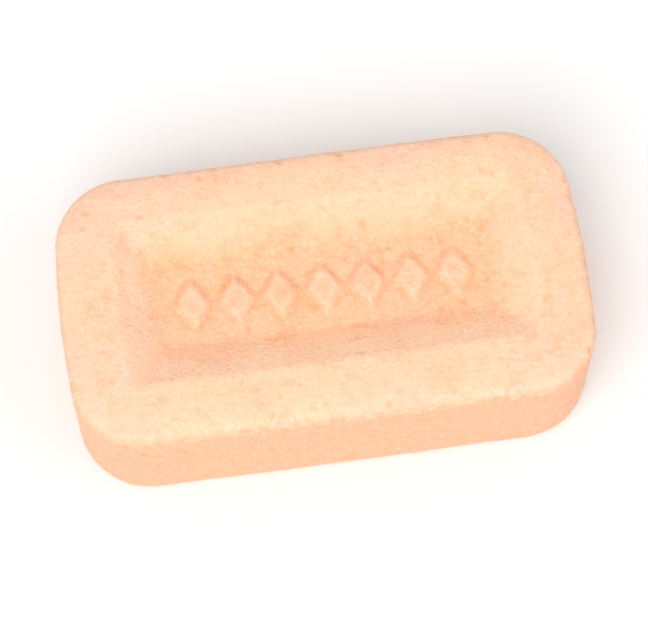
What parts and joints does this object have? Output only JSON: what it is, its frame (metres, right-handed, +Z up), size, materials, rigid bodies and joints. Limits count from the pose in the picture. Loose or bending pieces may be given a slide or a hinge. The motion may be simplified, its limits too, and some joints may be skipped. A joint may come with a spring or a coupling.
{
  "type": "fruit candy tablet",
  "caption": "Small rounded bar of pressed fruit candy, with a raised rim round a shallow dish in each face and a row of low lozenges on the dish floor.",
  "frame": {"origin": "middle of the tablet's footprint, on the surface that it lies on", "axes": "+X along the tablet's length, +Y along its width, +Z up through its thickness, square to both faces"},
  "size_m": [0.015, 0.0082, 0.0044],
  "materials": {
    "pressed_candy": null
  },
  "bodies": {
    "root": {"tablet": "pressed_candy"}
  },
  "joints": []
}
